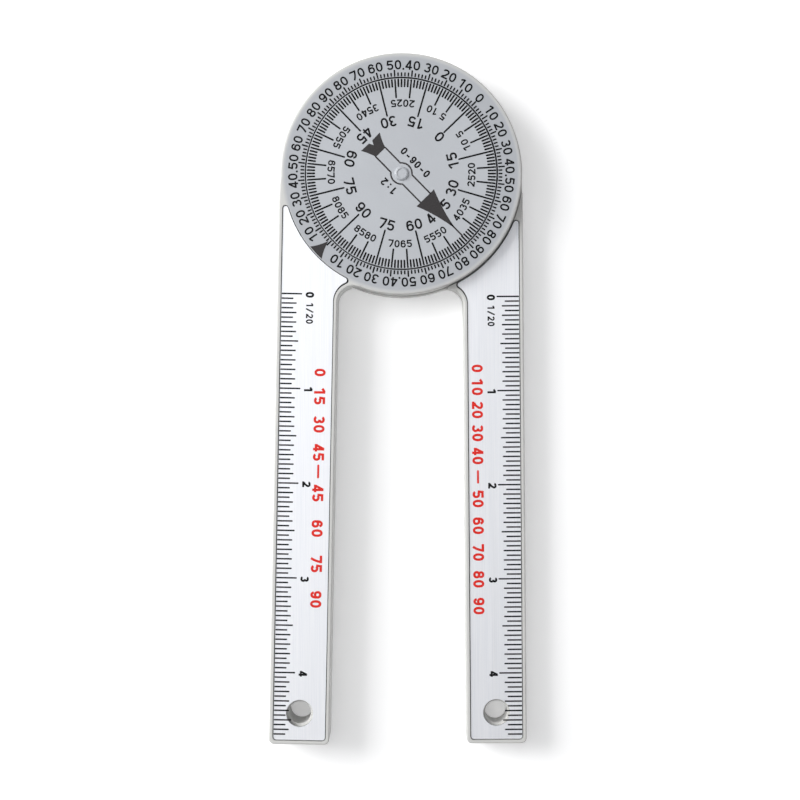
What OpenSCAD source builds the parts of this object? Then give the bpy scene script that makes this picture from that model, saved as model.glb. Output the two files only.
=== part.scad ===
// Miter saw protractor: two rule arms that turn on a lapped round hub with a dial.
// Millimetres, +Z up. The origin is on the hub axis at the underside, and the right arm points along -Y.

/* [Pose] */
// Angle between the two arms at rest, in degrees
rest_opening = 1.5; // [0:0.5:170]

/* [Arms] */
// Hub axis to the end of each arm
arm_length = 153.5; // [110:0.5:220]
// Width of each arm
arm_width = 16.2; // [13:0.1:20]
// Corner radius at the end of an arm
end_corner_r = 1.4; // [0.9:0.1:2]
// Fillet between an arm and the hub, seen from above
root_fillet_r = 4.4; // [3:0.1:6]
// Rounding along the upper edges of the arms
edge_r = 0.45; // [0.3:0.05:0.6]
// Outer wall of an arm, seen from below
arm_wall = 1.8; // [1.2:0.1:2.5]
// Thickness of the ribs under the arms and the hub
rib_t = 1.2; // [0.8:0.1:2]
// Distance between the cross ribs under an arm
rib_pitch = 16; // [10:0.5:18]
// Plastic left between a rule plate and the hollow under it
deck_t = 2; // [1.2:0.1:2.4]

/* [Rule plates] */
// Width of the raised rim round a rule plate
rim_w = 0.95; // [0.8:0.05:1.5]
// Thickness of a rule plate
plate_t = 0.5; // [0.3:0.05:0.7]
// Thickness of the adhesive film under a rule plate
adhesive_t = 0.15; // [0.1:0.01:0.2]
// How far a rule plate lies below the rim
plate_sink = 0.35; // [0.2:0.05:0.5]
// Gap between a rule plate and its recess
plate_gap = 0.24; // [0.1:0.02:0.3]
// How much wider that gap is beside the root fillet
fillet_gap = 0.22; // [0:0.02:0.3]
// Gap between the dark adhesive film and the recess's wall
adhesive_gap = 0.06; // [0.04:0.01:0.1]
// How far the right recess reaches under the hub circle, so that it leaves no sliver there
recess_overrun = 0.04; // [0.02:0.01:0.08]
// Corner radius of the recess at the arm's end
recess_corner_r = 1; // [0.6:0.1:1.5]
// Radius of the recess's narrow tips beside the dial
recess_tip_r = 0.9; // [0.6:0.05:1.1]
// Width of the ring that stays between the left plate and the ring's outer edge
ring_rim_w = 0.9; // [0.5:0.1:1.5]

/* [Hanging holes] */
// Radius of the hole through an arm
hang_hole_r = 3; // [2:0.1:3.5]
// Radius of the hole in a rule plate
plate_hole_r = 3.62; // [3.55:0.01:4.5]
// Depth of the wider step in the arm under that hole
hole_step_depth = 1; // [0.4:0.1:1.4]
// Hole axis to the end of the arm
hang_hole_inset = 8.3; // [7:0.1:12]
// Wall of the boss round the hole, seen from below
hang_boss_wall = 1.8; // [1.2:0.1:2.2]

/* [Hub] */
// Height of the dial's rim above the underside
hub_height = 12; // [11.4:0.1:13]
// Height of the dial's rim above the rim of the right arm
dial_step = 3; // [2.2:0.1:3.4]
// Radius of the inner dial
dial_r = 25.6; // [22:0.1:28]
// Gap between the inner dial and the scale ring
dial_gap = 0.3; // [0.15:0.05:0.4]
// Width of the scale ring round the inner dial
ring_w = 6.5; // [5.5:0.1:8]
// Rounding along the upper edge of the scale ring
ring_edge_r = 0.75; // [0.4:0.05:0.85]
// Gap between the scale ring and the right arm
ring_gap = 0.3; // [0.25:0.05:0.5]
// Gap between the lower half of the hub and the left arm
lap_gap_r = 0.4; // [0.3:0.05:0.6]
// Height left between the two halves of the hub
lap_gap_z = 0.3; // [0.25:0.05:0.4]
// Thickness of the web under the dial
web_t = 1.8; // [1.4:0.1:2.2]
// Thickness of the inner dial
dial_t = 2; // [1.6:0.1:2.4]
// How far the dial lies below the ring
dial_sink = 0.1; // [0:0.05:0.2]
// Height left for the washers between the web and the dial
spring_space = 2; // [1.9:0.05:2.3]
// Number of ribs under the lower half of the hub
hub_ribs = 12; // [8:1:16]

/* [Pivot] */
// Radius of the journal that the left arm turns on
journal_r = 12; // [10.5:0.1:13]
// Running clearance of the journal, on the radius
journal_clearance = 0.08; // [0.04:0.01:0.1]
// Radius of the dial's spigot
spigot_r = 5; // [4.2:0.1:6]
// Clearance of the spigot in its bore, on the radius
spigot_clearance = 0.08; // [0.04:0.01:0.1]
// Width of the two keys that stop the dial from turning
key_w = 1.8; // [1.4:0.1:2.4]
// How far a key stands out of the spigot
key_h = 1; // [0.8:0.1:1.4]
// How far the boss under the dial stays inside the journal's edge
dial_boss_step = 0.4; // [0.2:0.1:1]
// Bevel round the dial's upper edge
dial_bevel = 0.2; // [0.1:0.05:0.4]
// Wall of the screw boss, seen from below
boss_wall = 4; // [3:0.1:5]
// Plastic between the screw's washer and the spigot
boss_floor_t = 2; // [1.5:0.1:2.4]

/* [Fasteners] */
// Radius of the pivot screw's thread
screw_r = 1.5; // [1.2:0.1:1.6]
// Radius of the screw's head
screw_head_r = 2.9; // [2.6:0.1:3.2]
// Height of the screw's head
screw_head_h = 1.9; // [1.5:0.1:2.1]
// How far the screw's head lies above the underside
screw_sink = 0.3; // [0.2:0.05:0.5]
// Clearance round the screw's head and thread, on the radius
screw_clearance = 0.2; // [0.1:0.05:0.3]
// Thickness of the split washer
lock_washer_t = 0.6; // [0.4:0.05:0.7]
// How far the split washer stays inside the edge of the screw's head
lock_washer_inset = 0.2; // [0:0.05:0.4]
// Radius of the brass insert
insert_r = 2.2; // [2.1:0.05:2.6]
// Length of the brass insert
insert_l = 3.4; // [2.8:0.1:3.6]
// Radius of the centre button's head
button_r = 1.9; // [1.6:0.05:2.4]
// Height of the centre button above the dial
button_h = 0.7; // [0.4:0.05:1]
// Radius of the flat dish in the button's top
dish_r = 1.2; // [0.8:0.05:1.3]
// Depth of that dish
dish_depth = 0.18; // [0.1:0.02:0.3]
// Radius of the button's stem
stem_r = 1.1; // [0.8:0.05:1.3]
// Length of the button's stem in the dial
stem_l = 1.4; // [1.1:0.1:1.6]

/* [Washers] */
// Thickness of the glide washer
glide_t = 0.5; // [0.4:0.05:0.6]
// Depth of the groove that the glide washer lies in
glide_groove = 0.3; // [0.2:0.05:0.35]
// Inner radius of the glide washer
glide_in_r = 15; // [14:0.1:18]
// Outer radius of the glide washer
glide_out_r = 22; // [19:0.1:24]
// Thickness of the pressure washer
pressure_t = 0.5; // [0.4:0.05:0.6]
// Outer radius of the pressure washer
pressure_out_r = 19; // [16:0.1:21]
// Gap between the journal and the pressure washer
pressure_gap = 0.4; // [0.2:0.05:0.8]
// Thickness of the wave spring's steel
spring_t = 0.3; // [0.2:0.05:0.4]
// Inner radius of the wave spring
spring_in_r = 13.2; // [12.9:0.1:14]
// Outer radius of the wave spring
spring_out_r = 17.4; // [16:0.1:19]
// Number of waves of the spring
spring_waves = 3; // [3:1:5]

/* [Hidden] */
$fn = 96;

// Overlap of a cutter past the face it cuts
cut = 1;
// Clearance of a pressed or screwed fit, on the radius
fit = 0.05;
// Small axial clearance between stacked pieces
seat = 0.1;

plastic = [0.80, 0.80, 0.79];
dial_grey = [0.74, 0.75, 0.77];
aluminium = [0.90, 0.91, 0.93];
film = [0.12, 0.12, 0.13];
steel = [0.62, 0.63, 0.65];
brass = [0.80, 0.66, 0.34];
acetal = [0.93, 0.93, 0.90];

// Radii of the hub, from the dial outwards
window_r = dial_r + dial_gap;
ring_r = window_r + ring_w;
lower_r = ring_r + ring_gap;
lap_r = lower_r + lap_gap_r;

// Levels of the hub, from the dial downwards
dial_top = hub_height - dial_sink;
dial_under = dial_top - dial_t;
web_top = dial_under - spring_space;
web_under = web_top - web_t;
disc_top = web_under - lap_gap_z;
journal_top = web_top + seat;
right_depth = hub_height - dial_step;
recess_depth = plate_t + adhesive_t + plate_sink;

// Levels of the screw joint, from the underside upwards
bearing_z = screw_sink + screw_head_h + lock_washer_t;
spigot_under = bearing_z + boss_floor_t + seat;
boss_r = screw_head_r + boss_wall;

// Both arms share the distance from the hub axis to the outer edge, so they line up when opened flat
outer_x = lower_r;
inner_x = outer_x - arm_width;
hole_x = outer_x - arm_width / 2;
hole_y = hang_hole_inset - arm_length;

// Where the thin ends of the lapped walls are cut square, from the hub axis or the fillet's end
right_lap_end = 5;
left_lap_end = 9;
gusset_end = 1.8;
// Where the left arm's outer edge turns in, and the angle on the ring at which it arrives
merge_y = 6;
merge_angle = -3;
ring_point = [ring_r * cos(merge_angle), ring_r * sin(merge_angle)];
// How far the body and its edge rounding run on past that point, as a share of the leaning edge
merge_overrun = 0.1;
merge_lean = ring_point - [outer_x, -merge_y];

left_plate_arc_r = ring_r - ring_rim_w;
right_plate_arc_r = lower_r - recess_overrun;

function arc(c, r, a0, a1, n) =
    [for (i = [0:n]) let (a = a0 + (a1 - a0) * i / n) [c[0] + r * cos(a), c[1] + r * sin(a)]];

function bearing(from, to) = atan2(to[1] - from[1], to[0] - from[0]);

// Centre of the root fillet, which touches the arm's inner edge and the hub circle
function fillet_centre(hub_r) =
    let (x = inner_x - root_fillet_r) [x, -sqrt(pow(hub_r + root_fillet_r, 2) - x * x)];

// Point at distance ra from the hub axis and rb from c, on the arm's side
function tip_centre(c, ra, rb) =
    let (
        d = norm(c),
        along = (d * d + ra * ra - rb * rb) / (2 * d),
        across = sqrt(ra * ra - along * along),
        u = c / d
    ) [u[0] * along - u[1] * across, u[1] * along + u[0] * across];

// Outline of a rule plate or its recess in the right arm: inset from the arm's edges, arc beside the hub.
// A lift moves the arc beside the root fillet away from it.
function plate_outline(hub_r, inset, arc_r, tip_r, corner_r, lift = 0) =
    let (
        hub = [0, 0],
        f = fillet_centre(hub_r) + [0, lift],
        outer_tip_x = outer_x - inset - tip_r,
        outer_tip = [outer_tip_x, -sqrt(pow(arc_r + tip_r, 2) - pow(outer_tip_x, 2))],
        inner_tip = tip_centre(f, arc_r + tip_r, root_fillet_r + inset + tip_r),
        end_y = -arm_length + inset + corner_r
    ) concat(
        arc(outer_tip, tip_r, bearing(outer_tip, hub), 0, 10),
        arc([outer_x - inset - corner_r, end_y], corner_r, 0, -90, 6),
        arc([inner_x + inset + corner_r, end_y], corner_r, -90, -180, 6),
        arc(f, root_fillet_r + inset, 0, bearing(f, inner_tip), 12),
        arc(inner_tip, tip_r, bearing(inner_tip, f) + 360, bearing(inner_tip, hub), 8),
        arc(hub, arc_r, bearing(hub, inner_tip), bearing(hub, outer_tip), 24)
    );

module recess_plan(hub_r, arc_r) {
    polygon(plate_outline(hub_r, rim_w, arc_r, recess_tip_r, recess_corner_r));
}

// Plan of a rule plate or its film, with its gap to the recess
module plate_plan(hub_r, arc_r, gap, lift) {
    difference() {
        polygon(plate_outline(hub_r, rim_w + gap, arc_r + gap,
            recess_tip_r - gap, recess_corner_r - gap, lift));
        translate([hole_x, hole_y]) circle(plate_hole_r);
    }
}

// Arm seen from above, without the hub: the straight bar and the fillet at its root
module arm_plan(hub_r, root_y) {
    f = fillet_centre(hub_r);
    r = end_corner_r;
    translate([inner_x, r - arm_length]) square([arm_width, arm_length - r - root_y]);
    translate([inner_x + r, -arm_length]) square([arm_width - 2 * r, 2 * r]);
    for (x = [inner_x + r, outer_x - r]) translate([x, r - arm_length]) circle(r, $fn = 32);
    difference() {
        polygon([[inner_x + cut, f[1]], f, [0, 0], [inner_x + cut, 0]]);
        translate(f) circle(root_fillet_r, $fn = 64);
    }
}

// Left arm seen from above: its outer edge leans in at the root and runs into the ring
module left_plan() {
    arm_plan(ring_r, merge_y);
    polygon([[inner_x, -merge_y], [outer_x, -merge_y], ring_point + merge_overrun * merge_lean, [0, 0]]);
}

// Cross-section of the cutter that rounds an upper edge, with the body on its lower left
module edge_section(round_r) {
    difference() {
        translate([-round_r, -round_r]) square(round_r + cut);
        translate([-round_r, -round_r]) circle(round_r, $fn = 32);
    }
}

// Cutter along a straight edge between two points, with the body on the left of the walk
module edge_line(from, to) {
    translate(from) rotate([0, 0, bearing(from, to)]) rotate([90, 0, 90])
        linear_extrude(norm(to - from)) mirror([1, 0]) edge_section(edge_r);
}

// Cutter along a rounded edge with the body inside the circle
module edge_arc(c, r, from, sweep, round_r = edge_r) {
    translate(c) rotate([0, 0, from]) rotate_extrude(angle = sweep) translate([r, 0]) edge_section(round_r);
}

// Cutter along a rounded edge with the body outside the circle
module edge_hollow_arc(c, r, from, sweep) {
    translate(c) rotate([0, 0, from])
        rotate_extrude(angle = sweep) translate([r, 0]) mirror([1, 0]) edge_section(edge_r);
}

// Rounds the upper edges of an arm from the fillet round its end to the given height of the outer edge
module arm_edges(hub_r, outer_y) {
    f = fillet_centre(hub_r);
    r = end_corner_r;
    low = r - arm_length;
    edge_hollow_arc(f, root_fillet_r, 0, bearing(f, [0, 0]));
    edge_line([inner_x, f[1]], [inner_x, low]);
    edge_arc([inner_x + r, low], r, 180, 90);
    edge_line([inner_x + r, -arm_length], [outer_x - r, -arm_length]);
    edge_arc([outer_x - r, low], r, 270, 90);
    edge_line([outer_x, low], [outer_x, outer_y]);
}

// Hollow under an arm, left with ribs and a boss round the hanging hole
module arm_hollow(hub_r, arc_r, top) {
    length = arm_length - arm_wall;
    difference() {
        translate([0, 0, -cut]) linear_extrude(top + cut)
            polygon(plate_outline(hub_r, arm_wall, arc_r, recess_tip_r, recess_corner_r));
        for (y = [hole_y + rib_pitch : rib_pitch : -arc_r])
            translate([inner_x, y - rib_t / 2, -2 * cut]) cube([arm_width, rib_t, top + 3 * cut]);
        translate([hole_x - rib_t / 2, -length, -2 * cut]) cube([rib_t, length, top + 3 * cut]);
        translate([hole_x, hole_y, -2 * cut]) cylinder(r = hang_hole_r + hang_boss_wall, h = top + 3 * cut);
    }
}

// Hanging hole of an arm, with the wider step below the recess floor at floor_z
module hanging_hole(floor_z) {
    translate([hole_x, hole_y, -cut]) cylinder(r = hang_hole_r, h = hub_height + 2 * cut);
    translate([hole_x, hole_y, floor_z - hole_step_depth]) cylinder(r = plate_hole_r, h = hub_height);
}

// Hollow under the lower half of the hub, left with radial ribs and one round rib
module hub_hollow() {
    top = disc_top - deck_t;
    middle_r = (boss_r + lower_r - arm_wall) / 2;
    difference() {
        translate([0, 0, -cut]) cylinder(r = lower_r - arm_wall, h = top + cut);
        translate([0, 0, -2 * cut]) cylinder(r = boss_r, h = top + 3 * cut);
        difference() {
            translate([0, 0, -2 * cut]) cylinder(r = middle_r + rib_t / 2, h = top + 3 * cut);
            translate([0, 0, -3 * cut]) cylinder(r = middle_r - rib_t / 2, h = top + 5 * cut);
        }
        for (i = [0 : hub_ribs - 1]) rotate([0, 0, 360 * (i + 0.5) / hub_ribs])
            translate([0, -rib_t / 2, -2 * cut]) cube([lower_r, rib_t, top + 3 * cut]);
    }
}

// Bores of the lower half of the hub for the screw, its washer and the dial's keyed spigot
module pivot_bores() {
    translate([0, 0, -cut]) cylinder(r = screw_head_r + screw_clearance, h = bearing_z + cut);
    cylinder(r = screw_r + screw_clearance, h = spigot_under);
    translate([0, 0, spigot_under - seat]) cylinder(r = spigot_r + spigot_clearance, h = hub_height);
    key_bars(spigot_clearance, spigot_under - seat, hub_height);
}

// The two keys of the spigot, grown by a clearance
module key_bars(grow, z0, z1) {
    reach = spigot_r + key_h + grow;
    translate([-reach, -key_w / 2 - grow, z0]) cube([2 * reach, key_w + 2 * grow, z1 - z0]);
}

module right_arm() {
    f = fillet_centre(lower_r);
    thin_x = f[0] * lower_r / norm(f) + gusset_end;
    color(plastic) difference() {
        union() {
            linear_extrude(disc_top) {
                circle(lower_r, $fn = 180);
                arm_plan(lower_r, 0);
            }
            difference() {
                linear_extrude(right_depth) arm_plan(lower_r, right_lap_end);
                translate([0, 0, disc_top]) cylinder(r = lower_r, h = hub_height, $fn = 180);
                translate([-cut, -arm_length, disc_top]) cube([thin_x + cut, arm_length, hub_height]);
                translate([inner_x, -right_lap_end, disc_top])
                    cube([arm_width + cut, arm_width, hub_height]);
            }
            cylinder(r = journal_r, h = journal_top);
        }
        translate([0, 0, right_depth - recess_depth]) linear_extrude(hub_height)
            recess_plan(lower_r, right_plate_arc_r);
        translate([0, 0, right_depth]) arm_edges(lower_r, 0);
        arm_hollow(lower_r, lower_r, right_depth - recess_depth - deck_t);
        hanging_hole(right_depth - recess_depth);
        hub_hollow();
        pivot_bores();
        translate([0, 0, disc_top - glide_groove]) difference() {
            cylinder(r = glide_out_r + fit, h = hub_height);
            translate([0, 0, -cut]) cylinder(r = glide_in_r - fit, h = hub_height + 2 * cut);
        }
    }
}

// Groove under the scale ring that keeps its wall even, with twice as many ribs as the hub
module ring_hollow() {
    top = hub_height - recess_depth - deck_t;
    difference() {
        translate([0, 0, web_under - cut]) cylinder(r = ring_r - arm_wall, h = top - web_under + cut);
        cylinder(r = window_r + arm_wall, h = hub_height);
        for (i = [0 : 2 * hub_ribs - 1]) rotate([0, 0, 180 * (i + 0.5) / hub_ribs])
            translate([0, -rib_t / 2, 0]) cube([ring_r, rib_t, hub_height]);
    }
}

// Left arm as the mirror image of its place, so that it shares the right arm's outlines
module left_arm_mirrored() {
    f = fillet_centre(ring_r);
    fillet_angle = bearing([0, 0], f);
    difference() {
        union() {
            translate([0, 0, web_under]) cylinder(r = ring_r, h = hub_height - web_under, $fn = 180);
            translate([0, 0, web_under]) linear_extrude(hub_height - web_under) left_plan();
            difference() {
                linear_extrude(web_under) arm_plan(ring_r, left_lap_end);
                translate([0, 0, -cut]) cylinder(r = lap_r, h = hub_height, $fn = 180);
            }
        }
        translate([0, 0, web_top]) cylinder(r = window_r, h = hub_height, $fn = 180);
        cylinder(r = journal_r + journal_clearance, h = hub_height);
        translate([0, 0, hub_height - recess_depth]) linear_extrude(hub_height)
            recess_plan(ring_r, left_plate_arc_r);
        translate([0, 0, hub_height]) {
            arm_edges(ring_r, -merge_y);
            edge_line([outer_x, -merge_y], ring_point + 2 * merge_overrun * merge_lean);
            edge_arc([0, 0], ring_r, merge_angle, 360 + fillet_angle - merge_angle, ring_edge_r);
        }
        arm_hollow(ring_r, lap_r + arm_wall, hub_height - recess_depth - deck_t);
        ring_hollow();
        hanging_hole(hub_height - recess_depth);
    }
}

// Puts a piece of the left arm, made as its mirror image, where the opened arm lies
module on_left_arm() {
    rotate([0, 0, -rest_opening]) mirror([1, 0, 0]) children();
}

module left_arm() {
    color(plastic) on_left_arm() left_arm_mirrored();
}

module right_plate_adhesive() {
    color(film) translate([0, 0, right_depth - recess_depth])
        linear_extrude(adhesive_t) plate_plan(lower_r, right_plate_arc_r, adhesive_gap, 0);
}

module left_plate_adhesive() {
    color(film) on_left_arm() translate([0, 0, hub_height - recess_depth])
        linear_extrude(adhesive_t) plate_plan(ring_r, left_plate_arc_r, adhesive_gap, 0);
}

module right_rule_plate() {
    color(aluminium) translate([0, 0, right_depth - recess_depth + adhesive_t])
        linear_extrude(plate_t) plate_plan(lower_r, right_plate_arc_r, plate_gap, fillet_gap);
}

module left_rule_plate() {
    color(aluminium) on_left_arm() translate([0, 0, hub_height - recess_depth + adhesive_t])
        linear_extrude(plate_t) plate_plan(ring_r, left_plate_arc_r, plate_gap, fillet_gap);
}

// Flat ring with its underside at height z
module flat_ring(in_r, out_r, z, h) {
    translate([0, 0, z]) difference() {
        cylinder(r = out_r, h = h);
        translate([0, 0, -cut]) cylinder(r = in_r, h = h + 2 * cut);
    }
}

module glide_washer() {
    color(acetal) flat_ring(glide_in_r, glide_out_r, disc_top - glide_groove, glide_t);
}

module pressure_washer() {
    color(steel) flat_ring(journal_r + pressure_gap, pressure_out_r, web_top, pressure_t);
}

// Wavy steel washer between the pressure washer and the dial
module wave_spring() {
    steps = 72;
    low = web_top + pressure_t + seat / 2;
    swing = (dial_under - seat / 2 - spring_t - low) / 2;
    section = [[spring_in_r, 0], [spring_out_r, 0], [spring_out_r, spring_t], [spring_in_r, spring_t]];
    points = [for (i = [0 : steps - 1])
        let (a = 360 * i / steps, z = low + swing * (1 - cos(spring_waves * a)))
            for (p = section) [p[0] * cos(a), p[0] * sin(a), z + p[1]]];
    faces = [for (i = [0 : steps - 1]) let (j = (i + 1) % steps)
        for (k = [0:3]) let (m = (k + 1) % 4) [4 * i + k, 4 * i + m, 4 * j + m, 4 * j + k]];
    color(steel) polyhedron(points, faces);
}

// Inner dial with the boss that rests on the journal and the keyed spigot that turns it with the right arm
module miter_dial() {
    color(dial_grey) difference() {
        union() {
            rotate_extrude($fn = 180) polygon([[0, dial_under], [dial_r, dial_under],
                [dial_r, dial_top - dial_bevel], [dial_r - dial_bevel, dial_top], [0, dial_top]]);
            translate([0, 0, journal_top])
                cylinder(r = journal_r - dial_boss_step, h = dial_top - dial_bevel - journal_top);
            translate([0, 0, spigot_under]) cylinder(r = spigot_r, h = dial_under - spigot_under);
            key_bars(0, spigot_under, dial_under);
        }
        translate([0, 0, spigot_under - cut]) cylinder(r = insert_r + fit, h = insert_l + 2 * seat + cut);
        translate([0, 0, dial_top - stem_l - seat]) cylinder(r = stem_r + fit, h = hub_height, $fn = 48);
    }
}

// Plain brass bush with two grooves that the dial's plastic grips
module threaded_insert() {
    groove = 0.3;
    color(brass) translate([0, 0, spigot_under]) difference() {
        cylinder(r = insert_r, h = insert_l);
        translate([0, 0, -cut]) cylinder(r = screw_r + fit, h = insert_l + 2 * cut);
        for (z = [insert_l / 3, 2 * insert_l / 3]) translate([0, 0, z - groove / 2]) difference() {
            cylinder(r = insert_r + cut, h = groove);
            translate([0, 0, -cut]) cylinder(r = insert_r - groove, h = groove + 2 * cut);
        }
    }
}

module spring_lock_washer() {
    split_w = 0.5;
    split_angle = 40;
    color(steel) difference() {
        flat_ring(screw_r + fit, screw_head_r - lock_washer_inset, bearing_z - lock_washer_t, lock_washer_t);
        rotate([0, 0, split_angle]) translate([0, -split_w / 2, 0])
            cube([screw_head_r, split_w, hub_height]);
    }
}

// Pan-head screw with a cross recess, its head downwards
module pivot_screw() {
    slot_w = 0.8;
    slot_l = 3.2;
    slot_depth = 1.1;
    dome = 0.7;
    shank_top = spigot_under + insert_l;
    color(steel) difference() {
        union() {
            translate([0, 0, screw_sink + dome]) cylinder(r = screw_head_r, h = screw_head_h - dome);
            translate([0, 0, screw_sink]) cylinder(r1 = screw_head_r - dome, r2 = screw_head_r, h = dome);
            translate([0, 0, screw_sink]) cylinder(r = screw_r, h = shank_top - screw_sink);
        }
        for (a = [0, 90]) rotate([0, 0, a])
            translate([-slot_l / 2, -slot_w / 2, screw_sink - cut]) cube([slot_l, slot_w, cut + slot_depth]);
    }
}

// Small domed button with a shallow dish in its top
module centre_button() {
    round_r = min(button_h, button_r - dish_r) - fit;
    rim = button_r - round_r;
    color(dial_grey) translate([0, 0, dial_top]) {
        rotate_extrude($fn = 64) polygon(concat(
            [[0, 0], [button_r, 0]],
            arc([rim, button_h - round_r], round_r, 0, 90, 6),
            [[dish_r, button_h - dish_depth], [0, button_h - dish_depth]]));
        translate([0, 0, -stem_l]) cylinder(r = stem_r, h = stem_l, $fn = 48);
    }
}

right_arm();
left_arm();
right_plate_adhesive();
left_plate_adhesive();
right_rule_plate();
left_rule_plate();
glide_washer();
pressure_washer();
wave_spring();
miter_dial();
threaded_insert();
spring_lock_washer();
pivot_screw();
centre_button();
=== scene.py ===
import math

import bpy
from mathutils import Matrix, Vector


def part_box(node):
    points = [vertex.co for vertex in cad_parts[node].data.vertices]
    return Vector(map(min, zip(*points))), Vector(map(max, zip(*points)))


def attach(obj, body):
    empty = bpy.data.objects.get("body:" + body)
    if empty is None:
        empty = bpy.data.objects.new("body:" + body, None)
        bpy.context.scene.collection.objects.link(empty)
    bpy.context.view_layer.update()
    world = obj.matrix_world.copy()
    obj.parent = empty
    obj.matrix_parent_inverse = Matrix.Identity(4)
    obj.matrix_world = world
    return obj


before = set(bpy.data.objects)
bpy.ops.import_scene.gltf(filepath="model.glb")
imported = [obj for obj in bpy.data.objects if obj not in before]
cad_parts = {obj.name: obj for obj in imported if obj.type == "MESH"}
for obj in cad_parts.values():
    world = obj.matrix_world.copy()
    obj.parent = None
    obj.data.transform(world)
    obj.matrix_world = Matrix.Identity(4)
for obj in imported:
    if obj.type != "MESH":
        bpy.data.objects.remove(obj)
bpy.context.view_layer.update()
mm = 0.001
restOpening = 1.5  # degrees that the left arm stands open

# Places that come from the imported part
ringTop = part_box("left_arm")[1].z
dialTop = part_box("miter_dial")[1].z
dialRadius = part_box("miter_dial")[1].x
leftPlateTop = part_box("left_rule_plate")[1].z
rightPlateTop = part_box("right_rule_plate")[1].z
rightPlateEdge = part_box("right_rule_plate")[1].x
print("frame loaded:", len(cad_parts), "nodes")


def selectOnly(*items):
    bpy.ops.object.select_all(action="DESELECT")
    for item in items:
        item.select_set(True)
    bpy.context.view_layer.objects.active = items[0]


def copyAt(source, place):  # a copy with its own mesh, moved by a matrix
    twin = source.copy()
    twin.data = source.data.copy()
    twin.data.transform(place)
    bpy.context.scene.collection.objects.link(twin)
    return twin


def joinAs(name, parts):
    selectOnly(*parts)
    bpy.ops.object.join()
    whole = bpy.context.object
    whole.name = name
    whole.data.name = name
    return whole


def dropAll(*items):
    for item in items:
        bpy.data.objects.remove(item)


def turned(degrees, radius=0.0, height=0.0):  # out along a radius at an angle, +X of the shape outwards
    return (
        Matrix.Rotation(math.radians(degrees), 4, "Z")
        @ Matrix.Translation((radius, 0, height))
    )


# Materials

def newMaterial(name, color, roughness, metallic=0.0, ior=1.5):
    finish = bpy.data.materials.new(name)
    finish.use_nodes = True
    shader = finish.node_tree.nodes["Principled BSDF"]
    shader.inputs["Base Color"].default_value = (*color, 1)
    shader.inputs["Roughness"].default_value = roughness
    shader.inputs["Metallic"].default_value = metallic
    shader.inputs["IOR"].default_value = ior
    return finish, finish.node_tree, shader


def addNoise(tree, scale, detail=2.0, stretch=(1, 1, 1), turn=0.0):
    coordinates = tree.nodes.new("ShaderNodeTexCoord")
    mapping = tree.nodes.new("ShaderNodeMapping")
    mapping.inputs["Scale"].default_value = stretch
    mapping.inputs["Rotation"].default_value = (0, 0, math.radians(turn))
    noise = tree.nodes.new("ShaderNodeTexNoise")
    noise.inputs["Scale"].default_value = scale
    noise.inputs["Detail"].default_value = detail
    tree.links.new(coordinates.outputs["Object"], mapping.inputs["Vector"])
    tree.links.new(mapping.outputs["Vector"], noise.inputs["Vector"])
    return noise.outputs["Fac"]


def addRange(tree, value, low, high, fromLow=0.0, fromHigh=1.0):
    spread = tree.nodes.new("ShaderNodeMapRange")
    spread.inputs["From Min"].default_value = fromLow
    spread.inputs["From Max"].default_value = fromHigh
    spread.inputs["To Min"].default_value = low
    spread.inputs["To Max"].default_value = high
    tree.links.new(value, spread.inputs["Value"])
    return spread.outputs["Result"]


def addMath(tree, operation, first, second):
    step = tree.nodes.new("ShaderNodeMath")
    step.operation = operation
    tree.links.new(first, step.inputs[0])
    tree.links.new(second, step.inputs[1])
    return step.outputs["Value"]


def addVectorMath(tree, operation, *vectors):
    step = tree.nodes.new("ShaderNodeVectorMath")
    step.operation = operation
    for socket, vector in zip(step.inputs, vectors):
        if isinstance(vector, tuple):
            socket.default_value = vector
        else:
            tree.links.new(vector, socket)
    return step


def darker(color, share):
    return tuple(c * share for c in color)


def mixColors(tree, factor, first, second):
    mix = tree.nodes.new("ShaderNodeMix")
    mix.data_type = "RGBA"
    tree.links.new(factor, mix.inputs["Factor"])
    for socket, color in zip((mix.inputs["A"], mix.inputs["B"]), (first, second)):
        if isinstance(color, tuple):
            socket.default_value = (*color, 1)
        else:
            tree.links.new(color, socket)
    return mix.outputs["Result"]


def addBump(tree, shader, height, strength, distance):
    bump = tree.nodes.new("ShaderNodeBump")
    bump.inputs["Strength"].default_value = strength
    bump.inputs["Distance"].default_value = distance
    tree.links.new(height, bump.inputs["Height"])
    tree.links.new(bump.outputs["Normal"], shader.inputs["Normal"])


plastic = {
    "rimColor": (0.64, 0.64, 0.62), "faceColor": (0.50, 0.52, 0.55), "ringColor": (0.435, 0.452, 0.48),
    "mottle": 0.95, "cloud": 60, "roughness": 0.38, "buttonRoughness": 0.22, "handling": 900,
    "smoother": 0.05, "rougher": 0.07, "grain": 9000, "grainBump": 0.5, "grainDepth": 0.012 * mm,
    # between faceEdge and rimEdge the ring's face colour fades to the rim colour: the rim's own warm
    # grey, and partly a painted highlight on the rounded edge
    "faceEdge": 31.0 * mm, "rimEdge": 32.2 * mm,
}

# Painted shade in the fine gap between the dial and the ring: the gap's walls are coloured near black.
# Heights are below a face, sides are from the dial's edge
paintedGapShade = {
    "color": (0.004, 0.004, 0.005), "start": 0.02 * mm, "end": 0.14 * mm, "depth": 4.0 * mm,
    "floorFade": 0.1 * mm, "sideFade": 0.01 * mm,
    "ringInner": 3 * mm, "ringOuter": 0.35 * mm, "dialInner": 0.06 * mm,
}

# The ring's outer rounding. Low and high are below its face
ringEdge = {
    "start": 31.5 * mm, "end": 32.6 * mm, "startFade": 0.2 * mm, "endFade": 0.1 * mm,
    "low": 0.65 * mm, "high": 0.4 * mm, "lift": 1.3,
}


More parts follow.
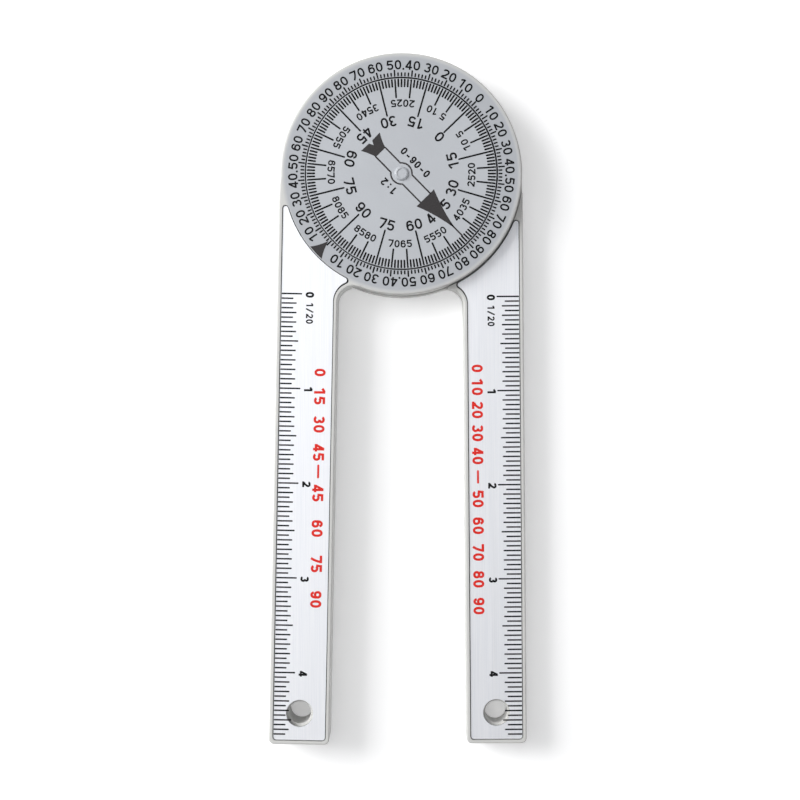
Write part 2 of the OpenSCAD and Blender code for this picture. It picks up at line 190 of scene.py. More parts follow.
def addPlasticGrain(tree, shader, baseColor, rest=None):
    cloud = addNoise(tree, plastic["cloud"], 3)
    shade = darker(baseColor, plastic["mottle"])
    color = mixColors(tree, addRange(tree, cloud, 0, 1, 0.3, 0.7), baseColor, shade)
    rest = rest or plastic["roughness"]
    handling = addNoise(tree, plastic["handling"], 2)
    rough = addRange(tree, handling, rest - plastic["smoother"], rest + plastic["rougher"])
    tree.links.new(rough, shader.inputs["Roughness"])
    grain = addNoise(tree, plastic["grain"], 2)
    addBump(tree, shader, grain, plastic["grainBump"], plastic["grainDepth"])
    return color


def addReach(tree):  # distance from the hub axis, and height
    place = tree.nodes.new("ShaderNodeTexCoord").outputs["Object"]
    flat = addVectorMath(tree, "MULTIPLY", place, (1, 1, 0))
    length = addVectorMath(tree, "LENGTH", flat.outputs["Vector"])
    height = tree.nodes.new("ShaderNodeSeparateXYZ")
    tree.links.new(place, height.inputs["Vector"])
    return length.outputs["Value"], height.outputs["Z"]


def darkenGap(tree, color, reach, height, top, insideOf, outsideOf):
    # painted shade: the gap's walls are coloured near black, standing in for the shade inside the gap
    factor = addRange(tree, height, 0, 1, top - paintedGapShade["start"], top - paintedGapShade["end"])
    floorOfGap = top - paintedGapShade["depth"]
    limits = (
        addRange(tree, height, 0, 1, floorOfGap - paintedGapShade["floorFade"], floorOfGap),
        addRange(tree, reach, 1, 0, insideOf, insideOf + paintedGapShade["sideFade"]),
        addRange(tree, reach, 0, 1, outsideOf, outsideOf + paintedGapShade["sideFade"]),
    )
    for limit in limits:
        factor = addMath(tree, "MULTIPLY", factor, limit)
    return mixColors(tree, factor, color, paintedGapShade["color"])


def levelEdge(tree, shader, reach, height):  # shades the rounding at the ring's edge as a tighter one
    spec = ringEdge
    grain = shader.inputs["Normal"].links[0].from_socket
    lift = addRange(tree, height, 0, spec["lift"], ringTop - spec["low"], ringTop - spec["high"])
    limits = (
        addRange(tree, reach, 0, 1, spec["start"], spec["start"] + spec["startFade"]),
        addRange(tree, reach, 1, 0, spec["end"] - spec["endFade"], spec["end"]),
    )
    for limit in limits:
        lift = addMath(tree, "MULTIPLY", lift, limit)
    upwards = tree.nodes.new("ShaderNodeCombineXYZ")
    tree.links.new(lift, upwards.inputs["Z"])
    total = addVectorMath(tree, "ADD", grain, upwards.outputs["Vector"])
    even = addVectorMath(tree, "NORMALIZE", total.outputs["Vector"])
    tree.links.new(even.outputs["Vector"], shader.inputs["Normal"])


def armPlastic(name):
    finish, tree, shader = newMaterial(name, plastic["rimColor"], plastic["roughness"])
    color = addPlasticGrain(tree, shader, plastic["rimColor"])
    tree.links.new(color, shader.inputs["Base Color"])
    return finish


def ringPlastic(name):  # the ring's face is the dial's blue grey, and fades to the rim's colour
    finish, tree, shader = newMaterial(name, plastic["rimColor"], plastic["roughness"])
    rim = addPlasticGrain(tree, shader, plastic["rimColor"])
    reach, height = addReach(tree)
    # lighter towards the rim: the rim's own colour, and partly a painted highlight on the rounded edge
    away = addRange(tree, reach, 0, 1, plastic["faceEdge"], plastic["rimEdge"])
    color = mixColors(tree, away, plastic["ringColor"], rim)
    outer, inner = dialRadius + paintedGapShade["ringOuter"], dialRadius - paintedGapShade["ringInner"]
    # painted shade on the ring's wall inside the gap round the dial
    color = darkenGap(tree, color, reach, height, ringTop, outer, inner)
    tree.links.new(color, shader.inputs["Base Color"])
    levelEdge(tree, shader, reach, height)
    return finish


def dialPlastic(name):
    finish, tree, shader = newMaterial(name, plastic["faceColor"], plastic["roughness"])
    color = addPlasticGrain(tree, shader, plastic["faceColor"])
    reach, height = addReach(tree)
    inner = dialRadius - paintedGapShade["dialInner"]
    # painted shade on the dial's wall inside the gap round it
    color = darkenGap(tree, color, reach, height, dialTop, 2 * dialRadius, inner)
    tree.links.new(color, shader.inputs["Base Color"])
    return finish


def buttonPlastic(name):
    finish, tree, shader = newMaterial(name, plastic["faceColor"], plastic["buttonRoughness"])
    color = addPlasticGrain(tree, shader, plastic["faceColor"], plastic["buttonRoughness"])
    tree.links.new(color, shader.inputs["Base Color"])
    return finish


brushed = {
    "color": (0.94, 0.95, 0.975), "dark": (0.885, 0.90, 0.935), "roughness": 0.58,
    "smoother": 0.05, "rougher": 0.06, "streak": 4200, "streakStretch": (1, 0.012, 0.2),
    "broad": 420, "broadStretch": (1, 0.02, 0.2), "bump": 0.25, "depth": 0.004 * mm,
}


def brushedAluminium(name, turn):
    rest = brushed["roughness"]
    finish, tree, shader = newMaterial(name, brushed["color"], rest, 1.0)
    fine = addNoise(tree, brushed["streak"], 3, brushed["streakStretch"], turn)
    broad = addNoise(tree, brushed["broad"], 2, brushed["broadStretch"], turn)
    color = mixColors(tree, addRange(tree, fine, 0, 1, 0.35, 0.7), brushed["color"], brushed["dark"])
    tree.links.new(color, shader.inputs["Base Color"])
    rough = addRange(tree, broad, rest - brushed["smoother"], rest + brushed["rougher"], 0.3, 0.7)
    tree.links.new(rough, shader.inputs["Roughness"])
    addBump(tree, shader, fine, brushed["bump"], brushed["depth"])
    return finish


inkFinish = {
    "ior": 1.3, "wornGain": 1.3, "wornLift": 0.003, "patches": 2600,
    "grain": 5000, "bump": 0.15, "depth": 0.004 * mm,
}


def printInk(name, color, roughness):
    spec = inkFinish
    finish, tree, shader = newMaterial(name, color, roughness, 0.0, spec["ior"])
    worn = tuple(min(1, c * spec["wornGain"] + spec["wornLift"]) for c in color)
    patchy = addRange(tree, addNoise(tree, spec["patches"], 3), 0, 1, 0.45, 0.8)
    tree.links.new(mixColors(tree, patchy, color, worn), shader.inputs["Base Color"])
    addBump(tree, shader, addNoise(tree, spec["grain"], 2), spec["bump"], spec["depth"])
    return finish


metal = {
    "marks": 1500, "stretch": (1, 0.15, 1), "smoother": 0.08, "rougher": 0.1,
    "dull": 0.86, "bump": 0.1, "depth": 0.005 * mm,
}


def plainMetal(name, color, roughness):
    spec = metal
    finish, tree, shader = newMaterial(name, color, roughness, 1.0)
    marks = addNoise(tree, spec["marks"], 3, spec["stretch"])
    rough = addRange(tree, marks, roughness - spec["smoother"], roughness + spec["rougher"])
    tree.links.new(rough, shader.inputs["Roughness"])
    dull = darker(color, spec["dull"])
    shade = mixColors(tree, addRange(tree, marks, 0, 1, 0.4, 0.7), color, dull)
    tree.links.new(shade, shader.inputs["Base Color"])
    addBump(tree, shader, marks, spec["bump"], spec["depth"])
    return finish


film = {"cloud": 700, "dull": 0.9, "grain": 3000, "bump": 0.2, "depth": 0.01 * mm}


def softFilm(name, color, roughness):
    finish, tree, shader = newMaterial(name, color, roughness)
    cloud = addNoise(tree, film["cloud"], 3)
    shade = mixColors(tree, cloud, color, darker(color, film["dull"]))
    tree.links.new(shade, shader.inputs["Base Color"])
    addBump(tree, shader, addNoise(tree, film["grain"], 2), film["bump"], film["depth"])
    return finish


inkBlack = printInk("scale_ink", (0.003, 0.003, 0.004), 0.6)
inkArrow = printInk("arrow_ink", (0.040, 0.037, 0.038), 0.6)
inkRed = printInk("red_ink", (0.68, 0.022, 0.014), 0.4)

finishes = {
    "right_arm": armPlastic("arm_plastic"),
    "left_arm": ringPlastic("ring_plastic"),
    "miter_dial": dialPlastic("dial_plastic"),
    "centre_button": buttonPlastic("button_plastic"),
    "right_rule_plate": brushedAluminium("right_brushed_aluminium", 0),
    "left_rule_plate": brushedAluminium("left_brushed_aluminium", restOpening),
    # painted shade: the adhesive films are coloured near black, so the gap round each plate shows as
    # the shade in it
    "right_plate_adhesive": softFilm("adhesive_shade_film", (0.02, 0.02, 0.022), 0.7),
    "left_plate_adhesive": softFilm("adhesive_shade_film_left", (0.02, 0.02, 0.022), 0.7),
    "glide_washer": softFilm("washer_acetal", (0.86, 0.86, 0.82), 0.3),
    "pressure_washer": plainMetal("pressure_washer_steel", (0.60, 0.61, 0.63), 0.28),
    "wave_spring": plainMetal("spring_steel", (0.55, 0.55, 0.57), 0.25),
    "spring_lock_washer": plainMetal("lock_washer_steel", (0.52, 0.53, 0.55), 0.35),
    "pivot_screw": plainMetal("screw_zinc", (0.66, 0.67, 0.69), 0.25),
    "threaded_insert": plainMetal("insert_brass", (0.78, 0.62, 0.32), 0.25),
}
for node, finish in finishes.items():
    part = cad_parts[node]
    part.data.materials.clear()
    part.data.materials.append(finish)
print("finishes on the packed nodes:", len(finishes))


# Printed marks: thin closed slabs of ink that lie on the faces

# a stroke that crosses another stands a stagger higher, so that no two tops share a plane
ink = {
    "thickness": 0.02 * mm, "sunk": 0.01 * mm, "stagger": 0.001 * mm, "weld": 0.001 * mm, "corner": 0.4,
}


def addBar(start, end, width):  # a mark along +X with rounded ends
    bpy.ops.mesh.primitive_cube_add(size=1, location=((start + end) / 2, 0, 0))
    bar = bpy.context.object
    bar.scale = (end - start, width, ink["thickness"] + ink["sunk"])
    bar.location.z = (ink["thickness"] - ink["sunk"]) / 2
    selectOnly(bar)
    bpy.ops.object.transform_apply(location=True, rotation=True, scale=True)
    bpy.ops.object.mode_set(mode="EDIT")
    bpy.ops.mesh.select_mode(type="EDGE")  # first, or the upright edges take all the others along
    bpy.ops.mesh.select_all(action="DESELECT")
    bpy.ops.object.mode_set(mode="OBJECT")
    for edge in bar.data.edges:
        a, b = (bar.data.vertices[i].co for i in edge.vertices)
        edge.select = abs(a.z - b.z) > ink["thickness"] / 2
    bpy.ops.object.mode_set(mode="EDIT")
    bpy.ops.mesh.bevel(offset=width * ink["corner"], segments=2, affect="EDGES")
    bpy.ops.object.mode_set(mode="OBJECT")
    return bar


def raiseSlab(patch, extra=0.0):  # gives a flat patch its thickness and turns every face outwards
    bpy.ops.object.mode_set(mode="EDIT")
    bpy.ops.mesh.select_all(action="SELECT")
    bpy.ops.mesh.remove_doubles(threshold=ink["weld"])
    lift = (0, 0, ink["thickness"] + ink["sunk"] + extra)
    bpy.ops.mesh.extrude_region_move(TRANSFORM_OT_translate={"value": lift})
    bpy.ops.mesh.select_all(action="SELECT")
    bpy.ops.mesh.normals_make_consistent(inside=False)
    bpy.ops.object.mode_set(mode="OBJECT")
    return patch


def addShape(points):  # a closed slab of ink with this outline, in mm
    bpy.ops.mesh.primitive_circle_add(vertices=len(points), radius=1, fill_type="NGON")
    patch = bpy.context.object
    for vertex, point in zip(patch.data.vertices, points):
        vertex.co = (point[0] * mm, point[1] * mm, -ink["sunk"])
    return raiseSlab(patch)


def addStroke(path, width, extra=0.0):  # an even line along a path in mm, a loop when its ends meet
    loop = path[0] == path[-1]
    count = len(path)
    bpy.ops.mesh.primitive_grid_add(x_subdivisions=count - 1, y_subdivisions=1, size=1)
    patch = bpy.context.object
    for i, (x, y) in enumerate(path):
        before = path[i - 1] if i else path[-2 if loop else 0]
        after = path[i + 1] if i < count - 1 else path[1 if loop else -1]
        dx, dy = after[0] - before[0], after[1] - before[1]
        reach = width / 2 / math.hypot(dx, dy)
        patch.data.vertices[i].co = ((x + dy * reach) * mm, (y - dx * reach) * mm, -ink["sunk"])
        patch.data.vertices[i + count].co = ((x - dy * reach) * mm, (y + dx * reach) * mm, -ink["sunk"])
    return raiseSlab(patch, extra)


def addArc(radius, start, end, steps):  # points along an arc, in mm and degrees
    return addOval((0, 0), radius, radius, start, end, steps, 2)


def addOval(centre, acrossRadius, upRadius, start, end, steps=16, fullness=2.25):
    points = []
    for i in range(steps + 1):
        angle = math.radians(start + (end - start) * i / steps)
        c, s = math.cos(angle), math.sin(angle)
        x = math.copysign(abs(c) ** (2 / fullness), c) * acrossRadius
        y = math.copysign(abs(s) ** (2 / fullness), s) * upRadius
        points.append((round(centre[0] + x, 6), round(centre[1] + y, 6)))
    return points


def addBow(start, end, sag, steps=6):  # points along a shallow curve between two points
    across = (-(end[1] - start[1]), end[0] - start[0])
    size = math.hypot(*across)
    points = []
    for i in range(steps + 1):
        t = i / steps
        bend = 4 * sag * t * (1 - t) / size
        points.append((
            start[0] + (end[0] - start[0]) * t + across[0] * bend,
            start[1] + (end[1] - start[1]) * t + across[1] * bend,
        ))
    return points


# Plain upright numbers, drawn with even strokes. Places are shares of a digit's height

def glyphPaths(sign, stroke, wide):
    e = stroke / 2
    left, right, top, middle = e, wide - e, 1 - e, wide / 2
    waist, span = 0.53, (wide - stroke) / 2
    upper, upperRise = (top + waist) / 2, (top - waist) / 2
    lower, lowerRise = (e + waist) / 2, (waist - e) / 2
    bowl = addOval((middle, 0.34), span, 0.34 - e, 0, 360, 24)
    six = [bowl, addOval((middle, 0.5), span, 0.5 - e, 186, 28, 14)]
    paths = {
        "0": [addOval((middle, 0.5), span, 0.5 - e, 0, 360, 28)],
        "1": [
            [(wide * 0.62, 0), (wide * 0.62, 1)],
            addBow((wide * 0.6, 0.93), (wide * 0.12, 0.73), -0.02, 4),
        ],
        "2": [
            addOval((middle, 0.71), span, 0.29 - e, 172, -28, 14)
            + [(wide * 0.5, 0.33), (left, stroke * 0.9)],
            [(0, e), (wide, e)],
        ],
        "3": [
            addOval((middle, upper), span * 0.9, upperRise, 160, -90, 16),
            addOval((middle, lower), span, lowerRise, 90, -160, 16),
        ],
        "4": [
            [(wide * 0.68, 0), (wide * 0.68, 1)], [(0, 0.26), (wide, 0.26)],
            [(wide * 0.66, 0.97), (e * 0.8, 0.27)],
        ],
        "5": [
            [(wide * 0.15, top), (wide * 0.94, top)], [(wide * 0.21, 1), (wide * 0.12, 0.47)],
            addOval((middle, 0.335), span, 0.335 - e, 138, -155, 18),
        ],
        "6": six,
        "7": [
            [(0, top), (wide, top)],
            addBow((wide - e * 1.1, 1 - stroke * 0.8), (wide * 0.34, 0), 0.05),
        ],
        "8": [
            addOval((middle, upper), span * 0.88, upperRise, 0, 360, 22),
            addOval((middle, lower), span, lowerRise, 0, 360, 24),
        ],
        "9": [[(wide - x, 1 - y) for x, y in path] for path in six],
        "-": [[(wide * 0.15, 0.4), (wide * 0.85, 0.4)]],
        ":": [[(middle - e, 0.16), (middle + e, 0.16)], [(middle - e, 0.62), (middle + e, 0.62)]],
        "/": [[(wide * 0.1, -0.02), (wide * 0.9, 1.02)]],
    }
    return paths[sign]


glyphs = {}


def addGlyph(sign, style):  # each sign is modelled once for each style, then copied
    key = (sign, style["height"], style["stroke"])
    if key not in glyphs:
        high = style["height"]
        strokes = []
        for i, path in enumerate(glyphPaths(sign, style["stroke"], style["wide"])):
            scaled = [(x * high, y * high) for x, y in path]
            strokes.append(addStroke(scaled, style["stroke"] * high, i * ink["stagger"]))
        glyphs[key] = joinAs("glyph", strokes)
    return copyAt(glyphs[key], Matrix.Identity(4))


def addNumber(text, style):  # centred on the origin, reading along +X
    step = style["wide"] + style["gap"]
    length = len(text) * step - style["gap"]
    parts = []
    for i, sign in enumerate(text):
        glyph = addGlyph(sign, style)
        x = (i * step - length / 2) * style["height"] * mm
        glyph.data.transform(Matrix.Translation((x, -style["height"] / 2 * mm, 0)))
        parts.append(glyph)
    return joinAs("number", parts)


def numberLength(text, style):
    return (len(text) * (style["wide"] + style["gap"]) - style["gap"]) * style["height"]


def dropGlyphs():
    dropAll(*glyphs.values())
    glyphs.clear()


def facing(degrees, radius, height, topsOut):  # place of a number on a round scale
    upright = -90 if topsOut else 90
    return turned(degrees, radius, height) @ Matrix.Rotation(math.radians(upright), 4, "Z")


# Scale ring on the left arm

ringScale = {
    "tick": (25.98, 27.1), "longTick": (25.98, 27.8), "tickWidth": 0.43, "step": 2,
    "number": {"height": 2.55, "stroke": 0.18, "wide": 0.7, "gap": 0.14}, "numberRadius": 29.1,
    "dotRadius": 28.0, "dotSize": 0.55, "topAngle": 45,
    "markAngle": 223.9, "markTip": 26.6, "markBase": 31.3, "markHalf": 4.1, "markSag": 0.22,
}


def ringNumber(steps):  # 0, 10 .. 90 .. 10, 0 and round again
    folded = abs(steps) % 18
    return 10 * min(folded, 18 - folded)


def makeRingScale():
    spec = ringScale
    parts = []
    shortTick = addBar(spec["tick"][0] * mm, spec["tick"][1] * mm, spec["tickWidth"] * mm)
    longTick = addBar(spec["longTick"][0] * mm, spec["longTick"][1] * mm, spec["tickWidth"] * mm)
    for i in range(360 // spec["step"]):
        bar = longTick if i % 5 == 0 else shortTick
        parts.append(copyAt(bar, turned(spec["topAngle"] + i * spec["step"], 0, ringTop)))
    dot = addBar(-spec["dotSize"] / 2 * mm, spec["dotSize"] / 2 * mm, spec["dotSize"] * mm)
    for i in range(36):
        value = ringNumber(i)
        angle = spec["topAngle"] - 10 * i
        if i == 18:  # the dark mark stands here
            continue
        label = addNumber(str(value), spec["number"])
        label.data.transform(facing(angle, spec["numberRadius"] * mm, ringTop, True))
        parts.append(label)
        if {value, ringNumber(i + 1)} == {40, 50}:
            parts.append(copyAt(dot, turned(angle - 5, spec["dotRadius"] * mm, ringTop)))
    dropAll(shortTick, longTick, dot)
    dropGlyphs()
    scale = joinAs("ring_scale_print", parts)
    scale.data.transform(Matrix.Rotation(math.radians(-restOpening), 4, "Z"))
    scale.data.materials.append(inkBlack)
    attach(scale, "left_arm")


def makeRingMark():  # the dark triangle that points at the dial
    spec = ringScale
    base = addArc(spec["markBase"], -spec["markHalf"], spec["markHalf"], 8)
    tip = (spec["markTip"], 0)
    outline = base + addBow(base[-1], tip, spec["markSag"])[1:]
    outline += addBow(tip, base[0], spec["markSag"])[1:-1]
    mark = addShape(outline)
    mark.name = mark.data.name = "ring_mark_print"
    mark.data.transform(turned(spec["markAngle"] - restOpening, 0, ringTop))
    mark.data.materials.append(inkArrow)
    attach(mark, "left_arm")


makeRingScale()
makeRingMark()
print("ring scale printed")


# Inner scale on the dial

dialScale = {
    "tick": (23.12, 25.38), "fiveTick": (20.2, 25.38), "longTick": (15.7, 25.38), "tickWidth": 0.48,
    "lineWidth": 0.46, "smallRadius": 18.85, "bigRadius": 14.15, "zeroAngle": 45, "splitOffset": 2.75,
    "small": {"height": 2.0, "stroke": 0.19, "wide": 0.7, "gap": 0.13},
    "big": {"height": 2.85, "stroke": 0.175, "wide": 0.69, "gap": 0.12},
}


def makeDialScale():
    spec = dialScale
    parts = []
    plainTick = addBar(spec["tick"][0] * mm, spec["tick"][1] * mm, spec["tickWidth"] * mm)
    fiveTick = addBar(spec["fiveTick"][0] * mm, spec["fiveTick"][1] * mm, spec["lineWidth"] * mm)
    longTick = addBar(spec["longTick"][0] * mm, spec["longTick"][1] * mm, spec["lineWidth"] * mm)
    for i in range(180):
        value = min(i, 180 - i)
        angle = spec["zeroAngle"] - 2 * i
        headLine = value == 45 and i == 45  # the arrow's own line marks this one
        bar = plainTick if value % 5 or headLine else longTick if value % 15 == 0 else fiveTick
        parts.append(copyAt(bar, turned(angle, 0, dialTop)))
        if value % 5 or headLine:
            continue
        kind = "small" if value % 15 else "big"
        label = addNumber(str(value), spec[kind])
        label.data.transform(facing(angle, spec[kind + "Radius"] * mm, dialTop, False))
        parts.append(label)
    for digit, side in (("4", -1), ("5", 1)):  # this 45 stands apart, with the arrow between its digits
        label = addNumber(digit, spec["big"])
        place = facing(-spec["zeroAngle"], spec["bigRadius"] * mm, dialTop, False)
        label.data.transform(place @ Matrix.Translation((side * spec["splitOffset"] * mm, 0, 0)))
        parts.append(label)
    dropAll(plainTick, fiveTick, longTick)
    dropGlyphs()
    scale = joinAs("dial_scale_print", parts)
    scale.data.transform(Matrix.Rotation(math.radians(-restOpening), 4, "Z"))
    scale.data.materials.append(inkBlack)
    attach(scale, "right_arm")


makeDialScale()
print("dial scale printed")


# Arrow across the dial, with two short labels beside it

arrow = {
    "angle": -46.03, "neckHalf": 1.78, "bulge": 2.85, "lineWidth": 0.42, "lineEnd": 23.4,
    "tailBack": -11.9, "tailFront": -7.95, "tailHalf": 3.55, "tailSag": 0.16,
    "notch": -10.65, "notchHalf": 0.6, "headBack": 9.15, "headHalf": 3.25, "tip": 20.2, "headSag": 0.32,
    "shoulder": 0.1, "tipHalf": 0.1, "overlap": 0.2, "lineInside": 1.5,
    "labels": (("0-90-0", 0.5, 4.75, 0), ("1:2", 0.1, -4.8, 180)),
    "label": {"height": 2.1, "stroke": 0.21, "wide": 0.64, "gap": 0.18},
}


def makeArrow():
    spec = arrow
    neck, half = spec["neckHalf"], spec["tailHalf"]
    corner = (spec["tailBack"], half)
    front = (spec["tailFront"], neck)
    mirrored = [(x, -y) for x, y in (corner, front)]
    shoulder = spec["tailBack"] + spec["shoulder"]
    tail = [(spec["notch"], 0), (shoulder, spec["notchHalf"])]
    tail += addBow(corner, front, -spec["tailSag"])
    tail += addBow(mirrored[1], mirrored[0], -spec["tailSag"])
    tail += [(shoulder, -spec["notchHalf"])]
    back, wing, tip = spec["headBack"], spec["headHalf"], spec["tip"]
    head = addBow((tip, -spec["tipHalf"]), (back, -wing), -spec["headSag"])
    head += addBow((back, wing), (tip, spec["tipHalf"]), -spec["headSag"])
    parts = [addShape(tail), addShape(head)]
    bend = math.degrees(math.asin(neck / spec["bulge"]))
    for side in (1, -1):
        path = [(spec["tailFront"] - spec["overlap"], neck)]
        path += addArc(spec["bulge"], 180 - bend, bend, 14) + [(back + spec["overlap"], neck)]
        parts.append(addStroke([(x, y * side) for x, y in path], spec["lineWidth"]))
    line = [(tip - spec["lineInside"], 0), (spec["lineEnd"], 0)]
    parts.append(addStroke(line, spec["lineWidth"]))
    whole = joinAs("dial_arrow_print", parts)
    whole.data.transform(turned(spec["angle"], 0, dialTop))
    whole.data.materials.append(inkArrow)
    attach(whole, "right_arm")


def makeDialLabels():
    spec = arrow
    parts = []
    for text, along, across, turn in spec["labels"]:
        label = addNumber(text, spec["label"])
        place = turned(spec["angle"], 0, dialTop) @ Matrix.Translation((along * mm, across * mm, 0))
        label.data.transform(place @ Matrix.Rotation(math.radians(turn), 4, "Z"))
        parts.append(label)
    dropGlyphs()
    labels = joinAs("dial_label_print", parts)
    labels.data.materials.append(inkBlack)
    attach(labels, "right_arm")


makeArrow()
makeDialLabels()
print("arrow printed")


# Rule scales on the two plates, twenty divisions to the inch

readDown = Matrix.Rotation(-math.pi / 2, 4, "Z")

ruleScale = {
    "inch": 25.4, "parts": 20, "marks": 94, "leftStart": 32.7, "rightStart": 32.95, "width": 0.4,
    "edgeGap": 0.02, "numberAt": 7.6, "numberDrop": 0.25, "unitAt": 5.2, "unitText": "1/20",
    "left": {"inchMark": 5.5, "halfMark": 4.7, "evenMark": 4.1, "oddMark": 3.2},
    "right": {"inchMark": 6.1, "halfMark": 5.2, "evenMark": 4.7, "oddMark": 3.9},
    "number": {"height": 2.25, "stroke": 0.24, "wide": 0.68, "gap": 0.18},
    "unit": {"height": 1.9, "stroke": 0.2, "wide": 0.62, "gap": 0.16},
}


def layRow(text, start, end, style):  # numbers spread evenly down the arm between two places
    words = text.split()
    lengths = [numberLength(word, style) for word in words]
    space = (end - start - sum(lengths)) / max(len(words) - 1, 1)
    parts, at = [], start
    for word, length in zip(words, lengths):
        label = addNumber(word, style)
        label.data.transform(Matrix.Translation((0, -(at + length / 2) * mm, 0)) @ readDown)
        parts.append(label)
        at += length + space
    return parts


def makeRuleScale(name, body, start, marks, top, onLeft):
    # drawn as on the right arm, on the other side and turned for the left one
    spec = ruleScale
    side = -1 if onLeft else 1
    edge, width = -spec["edgeGap"] * mm, spec["width"] * mm
    bars = {key: addBar(-length * mm, edge, width) for key, length in marks.items()}
    across = side * (rightPlateEdge - spec["numberAt"] * mm)
    outwards = Matrix.Rotation(math.pi if onLeft else 0, 4, "Z")
    parts = []
    for i in range(spec["marks"]):
        key = "oddMark" if i % 2 else "evenMark"
        key = "inchMark" if i % 20 == 0 else "halfMark" if i % 10 == 0 else key
        y = start + i * spec["inch"] / spec["parts"]
        place = Matrix.Translation((side * rightPlateEdge, -y * mm, top))
        parts.append(copyAt(bars[key], place @ outwards))
        if i % 20 == 0:
            label = addNumber(str(i // 20), spec["number"])
            place = Matrix.Translation((across, -(y + spec["numberDrop"]) * mm, top))
            label.data.transform(place @ readDown)
            parts.append(label)
    unit = addNumber(spec["unitText"], spec["unit"])
    unit.data.transform(Matrix.Translation((across, -(start + spec["unitAt"]) * mm, top)) @ readDown)
    dropAll(*bars.values())
    dropGlyphs()
    scale = joinAs(name, parts + [unit])
    if onLeft:
        scale.data.transform(Matrix.Rotation(math.radians(-restOpening), 4, "Z"))
    scale.data.materials.append(inkBlack)
    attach(scale, body)


redRow = {
    "number": {"height": 3.0, "stroke": 0.22, "wide": 0.68, "gap": 0.14}, "dashWidth": 0.55,
    "left": {
        "at": 10.7, "dash": (78.4, 82.1),
        "rows": (("0 15 30 45", 52.7, 77.4), ("45 60 75 90", 83.8, 116.8)),
    },
    "right": {
        "at": 11.45, "dash": (79.8, 83.4),
        "rows": (("0 10 20 30 40", 51.3, 78.2), ("50 60 70 80 90", 85.3, 118.7)),
    },
}


def makeRedRow(name, body, spec, top, onLeft):
    parts = []
    for text, start, end in spec["rows"]:
        parts += layRow(text, start, end, redRow["number"])
    dash = addBar(spec["dash"][0] * mm, spec["dash"][1] * mm, redRow["dashWidth"] * mm)
    parts.append(copyAt(dash, readDown))
    dropAll(dash)
    dropGlyphs()
    row = joinAs(name, parts)
    side = -1 if onLeft else 1
    row.data.transform(Matrix.Translation((side * (rightPlateEdge - spec["at"] * mm), 0, top)))
    if onLeft:
        row.data.transform(Matrix.Rotation(math.radians(-restOpening), 4, "Z"))
    row.data.materials.append(inkRed)
    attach(row, body)


rightMarks, leftMarks = ruleScale["right"], ruleScale["left"]
rightStart, leftStart = ruleScale["rightStart"], ruleScale["leftStart"]
makeRuleScale("right_rule_print", "right_arm", rightStart, rightMarks, rightPlateTop, False)
makeRuleScale("left_rule_print", "left_arm", leftStart, leftMarks, leftPlateTop, True)
makeRedRow("right_red_print", "right_arm", redRow["right"], rightPlateTop, False)
makeRedRow("left_red_print", "left_arm", redRow["left"], leftPlateTop, True)
print("rules printed")


# Floor, lights and camera

studio = {
    "floorColor": 0.88, "floorGlow": 0.32, "farGlow": 0.95, "glowStart": 0.25, "glowEnd": 1.2,
    "floorSize": 24, "floorDrop": 0.05 * mm, "aim": (0, -60 * mm, 0),
    "skyColor": (0.94, 0.95, 1.0), "skyLow": 0.42, "skyHigh": 0.16, "skyFade": 0.4,
    "topPower": 4.3, "topSize": (1.06, 1.15), "topPlace": (-0.39, 0.05, 1.0),
    "round": {  # panels that stand round the part
        "key_panel": {
            "azimuth": 156, "elevation": 35, "away": 1.3, "size": (0.78, 0.78), "power": 17.5,
        },
        "right_panel": {
            "azimuth": -25, "elevation": 14, "away": 1.1, "size": (0.9, 0.4), "power": 2.0,
        },
    },
}


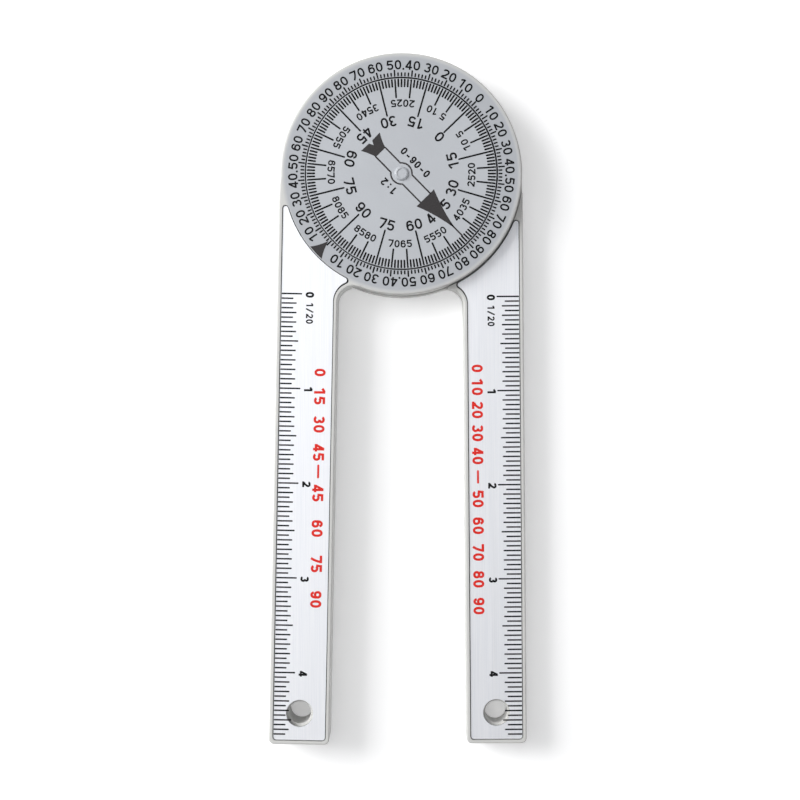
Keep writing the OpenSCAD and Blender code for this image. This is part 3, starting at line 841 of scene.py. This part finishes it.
def makeFloor():
    bpy.ops.mesh.primitive_plane_add(size=studio["floorSize"], location=(0, 0, -studio["floorDrop"]))
    floor = bpy.context.object
    floor.name = "floor"
    finish, tree, shader = newMaterial("floor_white", (studio["floorColor"],) * 3, 0.9)
    shader.inputs["Specular IOR Level"].default_value = 0
    path = tree.nodes.new("ShaderNodeLightPath")
    seen = path.outputs["Is Camera Ray"]
    for kind in ("Is Glossy Ray", "Is Transmission Ray"):
        seen = addMath(tree, "MAXIMUM", seen, path.outputs[kind])
    shader.inputs["Emission Color"].default_value = (1, 1, 1, 1)
    reach = addReach(tree)[0]  # the floor stays white further out, where the panels light it less
    near, far = studio["glowStart"], studio["glowEnd"]
    glow = addRange(tree, reach, studio["floorGlow"], studio["farGlow"], near, far)
    strength = addMath(tree, "MULTIPLY", seen, glow)
    tree.links.new(strength, shader.inputs["Emission Strength"])
    floor.data.materials.append(finish)


def addPanel(name, place, target, size, power):
    bpy.ops.object.light_add(type="AREA", location=place)
    lamp = bpy.context.object
    lamp.name = name
    lamp.data.shape = "RECTANGLE"
    lamp.data.size, lamp.data.size_y = size
    lamp.data.energy = power
    lamp.rotation_euler = (Vector(target) - Vector(place)).to_track_quat("-Z", "Y").to_euler()
    return lamp


def makeLights():
    target = Vector(studio["aim"])
    for name, spec in studio["round"].items():
        azimuth, elevation = math.radians(spec["azimuth"]), math.radians(spec["elevation"])
        level = math.cos(elevation)
        away = Vector((math.cos(azimuth) * level, math.sin(azimuth) * level, math.sin(elevation)))
        addPanel(name, target + away * spec["away"], target, spec["size"], spec["power"])
    under = (studio["topPlace"][0], studio["topPlace"][1], 0)
    addPanel("top_panel", studio["topPlace"], under, studio["topSize"], studio["topPower"])
    world = bpy.data.worlds.new("studio")
    bpy.context.scene.world = world
    world.use_nodes = True
    tree = world.node_tree
    backdrop = tree.nodes["Background"]
    backdrop.inputs["Color"].default_value = (*studio["skyColor"], 1)
    around = tree.nodes.new("ShaderNodeTexCoord")
    level = tree.nodes.new("ShaderNodeSeparateXYZ")
    tree.links.new(around.outputs["Generated"], level.inputs["Vector"])
    low, high = studio["skyLow"], studio["skyHigh"]
    strength = addRange(tree, level.outputs["Z"], low, high, 0, studio["skyFade"])
    tree.links.new(strength, backdrop.inputs["Strength"])


cameraSet = {
    "lens": 75.6, "sensor": 36, "aboveRing": 0.450, "x": -0.83 * mm, "y": -60.69 * mm, "roll": -0.43,
}


def makeCamera():
    place = (cameraSet["x"], cameraSet["y"], ringTop + cameraSet["aboveRing"])
    bpy.ops.object.camera_add(location=place, rotation=(0, 0, math.radians(cameraSet["roll"])))
    camera = bpy.context.object
    camera.data.lens = cameraSet["lens"]
    camera.data.sensor_width = cameraSet["sensor"]
    bpy.context.scene.camera = camera


makeFloor()
makeLights()
makeCamera()
bpy.context.scene.view_settings.view_transform = "Standard"
print("floor, lights and camera placed")
